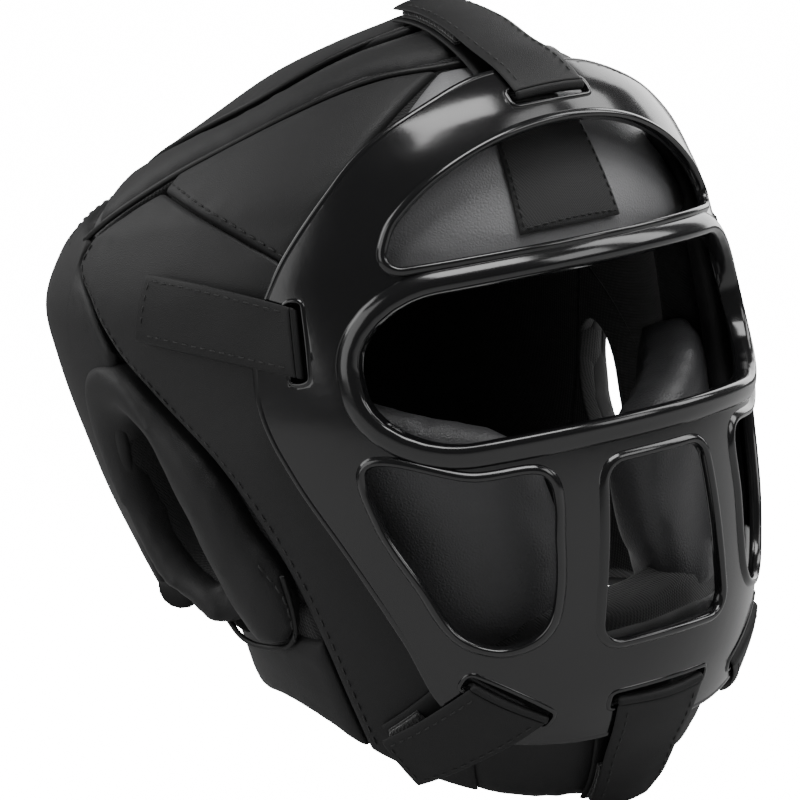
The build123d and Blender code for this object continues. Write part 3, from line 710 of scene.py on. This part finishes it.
def strap_set(kind, suffix, mirror_it):
    start, end, bar = STRAPS[kind]
    end_body = f"{kind}_strap_end{suffix}"
    way, far = strip_frame(start, end, 46, 12, 1.0)
    skin = CENTRE + way * far[..., None]
    lift = far + cage_gap(skin)
    along = np.linspace(0, 1, len(way))
    settle_down = np.clip((along - bar) / 0.25, 0, 1)
    settle_down = settle_down * settle_down * (3 - 2 * settle_down)
    lift = lift - 0.15 * settle_down[:, None] + 0.25 * ripple(skin, 30, 31)
    top, bottom = rounded_strip(way, lift + TAIL_LOW, lift + TAIL_HIGH)
    verts, faces = closed_sheet(top, bottom)
    pieces = [(verts, faces)]
    slot_way, slot_far = way[0], lift[0] + TAIL_HIGH - FOLD_RADIUS
    centre = CENTRE + slot_way * slot_far[:, None]
    forward = centre - (CENTRE + way[3] * (lift[3] + TAIL_HIGH - FOLD_RADIUS)[:, None])
    forward -= (forward * slot_way).sum(1, keepdims=True) * slot_way
    forward /= np.linalg.norm(forward, axis=1, keepdims=True)
    turn = np.radians(np.linspace(0, 200, 15))
    arc = slot_way[None] * np.cos(turn)[:, None, None] + forward[None] * np.sin(turn)[:, None, None]
    outer = centre[None] + arc * FOLD_RADIUS
    inner = centre[None] + arc * (FOLD_RADIUS - FOLD_THICKNESS)
    pieces.append(closed_sheet(outer, inner))
    flipped = [(flip(v, mirror_it), f) for v, f in pieces]
    make_object(f"{kind}_strap_flap{suffix}", *joined(flipped), "strap", end_body,
                (f"{kind}_strap_tail{suffix}",), 1)

    parts = []
    for column in (2, -3):
        run = CENTRE + way[:, column] * (lift[:, column] + TAIL_HIGH - 0.1)[:, None]
        parts += stitch_run(run[2:-2], *STRAP_STITCH)
    edge_run = CENTRE + way[-3] * (lift[-3] + TAIL_HIGH - 0.1)[:, None]
    parts += stitch_run(edge_run[2:-2], *STRAP_STITCH)
    parts = [(flip(v, mirror_it), f) for v, f in parts]
    make_object(f"{kind}_strap_stitching{suffix}", *joined(parts), "thread", end_body)

    for part, low, high, finish, body in (("hook_tape", 3.15, 5.0, "hook", end_body),
                                          ("loop_tape", 2.0, 3.1, "loop", SHELL)):
        way, far = strip_frame(start, end, 20, 8, 2.5, bar, 0.06)
        verts, faces = closed_sheet(*rounded_strip(way, far + low, far + high, 0.2))
        make_object(f"{kind}_{part}{suffix}", flip(verts, mirror_it), faces, finish, body,
                    (f"{kind}_strap_{part}{suffix}",))
    way, far = strip_frame(start, end, 40, 10, 0.8, 0.07, 0.0)
    verts, faces = closed_sheet(*rounded_strip(way, far + 0.2, far + 2.1, 0.5))
    make_object(f"{kind}_strap_under{suffix}", flip(verts, mirror_it), faces, "strap", SHELL,
                (f"{kind}_strap_base{suffix}",), 1)


def rear_closure():
    def strip(start, end, low, high, inset, cols, rows):
        angle = np.linspace(start, end, cols)
        rise = REAR_FLAP_BOTTOM + inset + (REAR_FLAP_WIDTH - 2 * inset) * eased(rows, 0.7)
        way, far = to_skin(place(angle[:, None], rise[None, :]))
        return (way, far, *rounded_strip(way, far + low, far + high, 0.6))

    way, far, top, bottom = strip(150, 194, REAR_FLAP_LOW, REAR_FLAP_HIGH, 0, 40, 12)
    make_object("rear_closure_flap", *closed_sheet(top, bottom), "strap", "rear_closure", ("rear_flap",), 1)
    face = CENTRE + way * (far + REAR_FLAP_HIGH + 0.1)[..., None]
    parts = []
    for run in (face[:, 2], face[:, -3], face[2], face[-3]):
        parts += stitch_run(run, *STRAP_STITCH)
    make_object("rear_closure_stitching", *joined(parts), "thread", "rear_closure")
    _, _, top, bottom = strip(181, 192, 1.9, 2.9, 2.5, 10, 10)
    make_object("rear_closure_hooks", *closed_sheet(top, bottom), "hook", "rear_closure", ("rear_hook_tape",))
    _, _, top, bottom = strip(181, 206, 0.6, 1.6, 2.5, 20, 10)
    make_object("rear_closure_loops", *closed_sheet(top, bottom), "loop", SHELL, ("rear_loop_tape",))


def forehead_label():
    low = line([(-9.5, 207), (0, 207), (9.5, 207)])
    high = line([(-9.5, 243), (0, 243), (9.5, 243)])
    upper, lower = sheet(low, high, top=-1.2, bottom=0.2, sink=0.5, rounding=1.5, wander=0.05, pitch=2.0)
    make_object("forehead_label", *closed_sheet(upper, lower), "patch", SHELL, ("forehead_patch",), 1)
    corners = [(-8.7, 208.5), (8.7, 208.5), (8.7, 241.5), (-8.7, 241.5)]
    sides = [spaced(line([a, b]), 30) for a, b in zip(corners, corners[1:] + corners[:1])]
    ring = on_skin(np.concatenate(sides), -1.25)
    make_object("forehead_label_stitching", *joined(stitch_run(ring, 2.0, 1.2, 0.28)), "thread", SHELL)


# ------------------------------------------------------------ face cage
CAGE_OUTLINE = [(0, 265), (24, 263), (43, 256.5), (58, 249.5), (69, 241.5), (79, 231), (86, 222.5),
                (93, 212), (98.5, 199), (102, 180), (102, 160), (97.5, 137), (91, 115), (84, 93),
                (77.5, 74), (70.5, 55), (59, 39), (38, 32), (0, 30)]
BROW_HALF = [(69.5, 207), (69, 211.5), (64, 220), (49, 231.5), (26, 240.5)]
BROW = [(-66, 204), (66, 204)] + BROW_HALF + [(0, 243.5)] + [(-x, z) for x, z in BROW_HALF[::-1]]
CHEEK = [(41, 127), (62, 130), (84, 140), (83, 120), (75, 96), (67, 77), (57, 70), (47, 72),
         (42, 80), (40, 104)]


def cage_point(angle, height):
    """Points of the cage's outer face above skin places."""
    skin = place(angle, height)
    way = skin - CENTRE
    far = np.linalg.norm(way, axis=-1, keepdims=True)
    return skin + way / far * cage_gap(skin)[..., None]


def cage_at(x, z):
    """Skin places (angle, height) whose cage point has this x and z, seen from the front."""
    angle = np.clip(np.asarray(x, float) * 0.55, -58, 58)
    height = np.asarray(z, float).copy()
    for _ in range(14):
        p = cage_point(angle, height)
        pa = (cage_point(angle + 0.1, height) - p) / 0.1
        ph = (cage_point(angle, height + 0.1) - p) / 0.1
        ex, ez = x - p[..., 0], z - p[..., 2]
        det = pa[..., 0] * ph[..., 2] - ph[..., 0] * pa[..., 2]
        det = np.where(np.abs(det) < 1e-3, 1e-3, det)
        angle = angle + np.clip((ex * ph[..., 2] - ez * ph[..., 0]) / det, -6, 6)
        height = height + np.clip((ez * pa[..., 0] - ex * pa[..., 2]) / det, -8, 8)
        angle = np.clip(angle, -61.5, 61.5)
        height = np.clip(height, 10, 279)
    return angle, height


def cage_normal(angle, height):
    p = cage_point(angle, height)
    n = np.cross(cage_point(angle + 0.2, height) - p, cage_point(angle, height + 0.2) - p)
    n /= np.linalg.norm(n, axis=-1, keepdims=True)
    return n * np.sign((n * (p - CENTRE)).sum(-1, keepdims=True))


def loop(points, spacing=1.6, corner=0.0):
    """Closed, evenly spaced outline through points; corner rounds off a polygon instead."""
    points = np.array(points, float)
    if corner:
        rounded = []
        for k in range(len(points)):
            here, before, after = points[k], points[k - 1], points[(k + 1) % len(points)]
            u = (before - here) / np.linalg.norm(before - here)
            v = (after - here) / np.linalg.norm(after - here)
            half = math.acos(np.clip(u @ v, -1, 1)) / 2
            reach = corner / math.tan(half)
            middle_way = (u + v) / np.linalg.norm(u + v)
            hub = here + middle_way * corner / math.sin(half)
            a, b = here + u * reach - hub, here + v * reach - hub
            for s in np.linspace(0, 1, 9):
                way = a * (1 - s) + b * s
                rounded.append(hub + way / np.linalg.norm(way) * corner)
        points = np.array(rounded)
        ring = np.concatenate([points, points[:1]])
    else:
        ring = np.concatenate([points, points[:1]])
        step = np.linalg.norm(np.diff(ring, axis=0), axis=1)
        knots = np.concatenate([[0], np.cumsum(step)])
        tangent = (np.roll(points, -1, 0) - np.roll(points, 1, 0)) / (step + np.roll(step, 1))[:, None]
        tangent = np.concatenate([tangent, tangent[:1]])
        fine = np.linspace(0, knots[-1], 60 * len(points))
        i = np.clip(np.searchsorted(knots, fine) - 1, 0, len(step) - 1)
        t = ((fine - knots[i]) / step[i])[:, None]
        ring = hermite(t, step[i][:, None], ring[i], ring[i + 1], tangent[i], tangent[i + 1])
    length = np.concatenate([[0], np.cumsum(np.linalg.norm(np.diff(ring, axis=0), axis=1))])
    count = int(length[-1] / spacing)
    at = np.arange(count) / count * length[-1]
    return np.stack([np.interp(at, length, ring[:, k]) for k in range(2)], -1)


def signed_distance(points, ring):
    """Distance from a closed outline, negative inside it."""
    a, b = ring, np.roll(ring, -1, 0)
    ab = b - a
    ap = points[:, None] - a[None]
    t = np.clip((ap * ab).sum(-1) / (ab * ab).sum(-1), 0, 1)
    distance = np.sqrt((((ap - t[..., None] * ab) ** 2).sum(-1)).min(1))
    above = (a[None, :, 1] > points[:, None, 1]) != (b[None, :, 1] > points[:, None, 1])
    rise = np.where(ab[:, 1] == 0, 1e-9, ab[:, 1])[None]
    cross = a[None, :, 0] + (points[:, None, 1] - a[None, :, 1]) * ab[None, :, 0] / rise
    inside = ((above & (points[:, None, 0] < cross)).sum(1) % 2) == 1
    return np.where(inside, -distance, distance)


def slot_loop(start, end):
    """Outline of a strap slot, seen from the front; most of it lies ahead of the strap's fold."""
    (a0, h0), (a1, h1) = start
    first, last = cage_point(a0, h0), cage_point(a1, h1)
    a_mid, h_mid = (a0 + a1) / 2, (h0 + h1) / 2
    along = (last - first) / np.linalg.norm(last - first)
    across = np.cross(cage_normal(np.array(a_mid), np.array(h_mid)), along)
    if across @ (first - place(*end[0])) < 0:
        across = -across
    corners = [first - along * 0.8 + across * 4.1, last + along * 0.8 + across * 4.1,
               last + along * 0.8 - across * 2.7, first - along * 0.8 - across * 2.7]
    flat = [(c[0], c[2]) for c in corners]
    return loop(flat, 1.0, 1.2)


def moulding(ring, profile):
    """Rim swept along an outline on the cage. Profile points are (outwards, off the face)."""
    angle, height = cage_at(ring[:, 0], ring[:, 1])
    p, n = cage_point(angle, height), cage_normal(angle, height)
    tangent = np.roll(p, -1, 0) - np.roll(p, 1, 0)
    tangent /= np.linalg.norm(tangent, axis=1, keepdims=True)
    side = np.cross(tangent, n)
    side /= np.linalg.norm(side, axis=1, keepdims=True)
    if (signed_distance(ring + side[..., ::2], ring) < 0).mean() > 0.5:
        side = -side
    count, sides = len(ring), len(profile)
    b, h = np.array(profile, float).T
    verts = p[:, None] + side[:, None] * b[None, :, None] + n[:, None] * h[None, :, None]
    i, k = np.meshgrid(np.arange(count), np.arange(sides), indexing="ij")
    nxt, m = (i + 1) % count, (k + 1) % sides
    faces = np.stack([i * sides + k, i * sides + m, nxt * sides + m, nxt * sides + k], -1).reshape(-1, 4)
    flat = verts.reshape(-1, 3)
    mid = verts.mean(1)
    normal = np.cross(verts[0, 1] - verts[0, 0], verts[1, 0] - verts[0, 0])
    if np.dot(normal, (verts[0, 0] + verts[0, 1]) / 2 - mid[0]) > 0:
        faces = faces[:, ::-1]
    return flat, faces


EYE_RIM = [(0.6, -5.6), (-0.3, -5.4), (-0.7, -4.4), (-0.75, -1.0), (-0.7, 0.8), (-0.3, 1.9), (0.6, 2.5),
           (1.9, 2.75), (3.6, 2.6), (5.4, 2.0), (6.8, 1.1), (7.7, 0.25), (8.2, -0.5), (6, -2.6),
           (2.4, -3.4), (1.8, -5.0)]
THIN_RIM = [(-0.5, -3.2), (-0.6, -0.6), (-0.5, 0.5), (-0.1, 1.15), (0.6, 1.45), (1.5, 1.3), (2.3, 0.75),
            (3.0, 0.1), (3.5, -0.6), (3, -2.4), (1.5, -3.2)]
EDGE_RIM = [(0.7, -0.9), (0.55, -0.2), (0.15, 0.25), (-0.5, 0.4), (-1.3, 0.3), (-2.0, -0.1), (-2.4, -0.8),
            (-2.2, -2.2), (-1.2, -3.2), (0.2, -3.2), (0.7, -2.4)]
SLOT_RIM = [(-0.3, -3.2), (-0.4, -0.4), (-0.2, 0.45), (0.4, 0.7), (1.1, 0.5), (1.7, -0.1), (1.8, -1.5),
            (1, -3.2)]


def face_cage():
    eye_ring = loop([(-83, 141.5), (83, 141.5), (83, 194.5), (-83, 194.5)], 1.6, 24)
    mouth_ring = loop([(-21, 127), (21, 127), (27, 65), (-27, 65)], 1.5, 7)
    brow_ring = loop(BROW, 1.5)
    cheek_ring = loop(CHEEK, 1.5)
    other_cheek = cheek_ring * np.array([-1.0, 1.0])
    slots = [slot_loop(*STRAPS[kind][:2]) for kind in STRAPS]
    slots += [ring * np.array([-1.0, 1.0]) for ring in slots[2:]]
    outline = np.array(CAGE_OUTLINE, float)
    right = spaced(np.insert(outline, 1, 0, 1), 160)[:, ::2]
    outer_ring = np.concatenate([right, (right * np.array([-1.0, 1.0]))[-2:0:-1]])
    windows = [eye_ring, mouth_ring, brow_ring, cheek_ring, other_cheek]

    cols, rows = 170, 200
    angle, height = np.meshgrid(np.linspace(-60.5, 60.5, cols), np.linspace(17, 268, rows))
    angle, height = angle.ravel(), height.ravel()

    def clearance(a, h):
        flat = cage_point(a, h)[:, ::2]
        value = -signed_distance(flat, outer_ring)
        for ring in windows + slots:
            value = np.minimum(value, signed_distance(flat, ring))
        return value

    value = clearance(angle, height)
    spacing_a, spacing_h = 121 / (cols - 1), 251 / (rows - 1)
    for _ in range(3):
        close = np.abs(value) < 1.3
        a, h, v = angle[close], height[close], value[close]
        ga = (clearance(a + 0.15, h) - v) / 0.15
        gh = (clearance(a, h + 0.25) - v) / 0.25
        size = ga * ga + gh * gh + 1e-9
        move_a, move_h = -v * ga / size, -v * gh / size
        near = (np.abs(move_a) < 0.62 * spacing_a) & (np.abs(move_h) < 0.62 * spacing_h)
        a = np.where(near, a + move_a, a)
        h = np.where(near, h + move_h, h)
        angle[close], height[close] = a, h
        value[close] = clearance(a, h)
    quads = grid_faces(rows, cols)
    kept = quads[(value[quads] > -0.12).all(1)]
    used = np.unique(kept)
    remap = np.full(len(angle), -1)
    remap[used] = np.arange(len(used))
    kept = remap[kept]
    outer = cage_point(angle[used], height[used])
    inner = outer - cage_normal(angle[used], height[used]) * CAGE_WALL
    edges = dict.fromkeys((quad[k], quad[(k + 1) % 4]) for quad in kept.tolist() for k in range(4))
    count = len(used)
    rims = [(a, b) for a, b in edges if (b, a) not in edges]
    walls = [(b, a, a + count, b + count) for a, b in rims]
    faces = kept.tolist() + (kept[:, ::-1] + count).tolist() + walls
    probe = kept[len(kept) // 2]
    corner = outer[probe]
    if np.dot(np.cross(corner[1] - corner[0], corner[3] - corner[0]), corner[0] - CENTRE) < 0:
        faces = [face[::-1] for face in faces]
    make_object("cage_moulding", np.concatenate([outer, inner]), faces, "plastic", CAGE, ("face_cage",))
    rim_parts = [moulding(eye_ring, EYE_RIM)]
    rim_parts += [moulding(ring, THIN_RIM) for ring in (mouth_ring, brow_ring, cheek_ring, other_cheek)]
    rim_parts += [moulding(ring, SLOT_RIM) for ring in slots]
    rim_parts.append(moulding(loop(outer_ring[::4], 1.8), EDGE_RIM))
    make_object("cage_rims", *joined(rim_parts), "plastic", CAGE, (), 1)


cores()
covers()
ear_rings()
cheek_cushions()
trims()
strap_set("top", "", False)
strap_set("chin", "", False)
for strap_kind in ("temple", "jaw"):
    strap_set(strap_kind, "_left", False)
    strap_set(strap_kind, "_right", True)
rear_closure()
forehead_label()
face_cage()


# ------------------------------------------------------------ floor, light and camera
# The floor and backdrop glow for the camera only, so that they look pale but light nothing.
FLOOR_SHADE = (0.52, 0.52, 0.52)
BACKDROP_GLOW = 16.0
AMBIENT_LIGHT = 0.11


def floor():
    mesh = bpy.data.meshes.new("floor")
    size, low = 6.0, cad_bounds[0][2] - 0.004
    corners = [(x * size, y * size, low) for x, y in ((-1, -1), (1, -1), (1, 1), (-1, 1))]
    mesh.from_pydata(corners, [], [(0, 1, 2, 3)])
    paper = Material("floor_paper")
    seen = paper.add("LightPath").outputs["Is Camera Ray"]
    paper.set(Base_Color=(*FLOOR_SHADE, 1), Roughness=0.9, Emission_Color=(1, 1, 1, 1),
              Emission_Strength=paper.mixed(seen, 0.0, BACKDROP_GLOW))
    mesh.materials.append(paper.data)
    obj = bpy.data.objects.new("floor", mesh)
    bpy.context.collection.objects.link(obj)


TARGET = Vector((0, -5, 150)) * MM


def direction(azimuth, elevation):
    """Unit vector away from the headgear; azimuth 0 is in front of the face."""
    a, e = math.radians(azimuth), math.radians(elevation)
    return Vector((math.sin(a) * math.cos(e), -math.cos(a) * math.cos(e), math.sin(e)))


def softbox(name, azimuth, elevation, distance, width, height, power):
    way = direction(azimuth, elevation)
    light = bpy.data.lights.new(name, "AREA")
    light.shape = "RECTANGLE"
    light.size, light.size_y, light.energy = width, height, power
    obj = bpy.data.objects.new(name, light)
    obj.location = TARGET + way * distance
    obj.rotation_euler = way.to_track_quat("Z", "Y").to_euler()
    bpy.context.collection.objects.link(obj)


def lights():
    softbox("left_wall", -100, 22, 1.4, 0.9, 1.1, 5.2)
    softbox("front_high", -15, 62, 1.5, 0.8, 0.7, 14)
    softbox("front_right", 22, 27, 1.4, 0.6, 0.6, 3.5)
    softbox("right_high", 62, 38, 1.5, 0.6, 1.1, 9)
    softbox("right_rim", 112, 20, 1.5, 0.7, 1.1, 7)
    softbox("back_left", 215, 40, 1.6, 1.0, 0.8, 7)
    softbox("front_low", -30, -12, 1.6, 0.9, 0.35, 0.6)
    world = bpy.data.worlds.new("studio")
    world.use_nodes = True
    nodes, links = world.node_tree.nodes, world.node_tree.links
    background = nodes["Background"]
    path = nodes.new("ShaderNodeLightPath")
    shade = nodes.new("ShaderNodeMapRange")
    shade.inputs["To Min"].default_value = AMBIENT_LIGHT
    shade.inputs["To Max"].default_value = BACKDROP_GLOW
    links.new(path.outputs["Is Camera Ray"], shade.inputs["Value"])
    links.new(shade.outputs["Result"], background.inputs["Strength"])
    background.inputs["Color"].default_value = (1, 1, 1, 1)
    bpy.context.scene.world = world


CAMERA_DISTANCE = 1.3
VIEW_WIDTH = 0.301887


def camera():
    back, roll = direction(-33, 4.5), math.radians(10.5)
    data = bpy.data.cameras.new("camera")
    data.sensor_width = 36
    data.lens = data.sensor_width * CAMERA_DISTANCE / VIEW_WIDTH
    obj = bpy.data.objects.new("camera", data)
    turn = back.to_track_quat("Z", "Y").to_matrix() @ Matrix.Rotation(-roll, 3, "Z")
    obj.matrix_world = Matrix.Translation(TARGET + back * CAMERA_DISTANCE) @ turn.to_4x4()
    bpy.context.collection.objects.link(obj)
    bpy.context.scene.camera = obj


floor()
lights()
camera()
